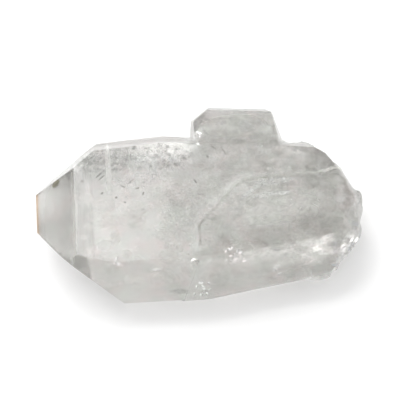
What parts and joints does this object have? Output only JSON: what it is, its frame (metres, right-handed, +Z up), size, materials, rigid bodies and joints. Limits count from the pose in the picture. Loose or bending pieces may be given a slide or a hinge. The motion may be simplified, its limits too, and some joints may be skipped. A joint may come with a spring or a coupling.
{
  "type": "clear quartz tabular crystal",
  "caption": "Flattened clear quartz crystal with a chisel-shaped point, a side crystal on one edge and a rough broken base.",
  "frame": {"origin": "middle of the crystal's outline, on the surface that it lies on", "axes": "+X along the long (c) axis away from the chisel-shaped point, +Y across the tablet towards the side crystal, +Z up from the broad face that it lies on"},
  "size_m": [0.0696, 0.0434, 0.0166],
  "materials": {
    "quartz": "natural crystal faces, smooth and glassy, with fine growth lines and a rough broken base"
  },
  "bodies": {
    "root": {"quartz_crystal": "quartz"}
  },
  "joints": []
}
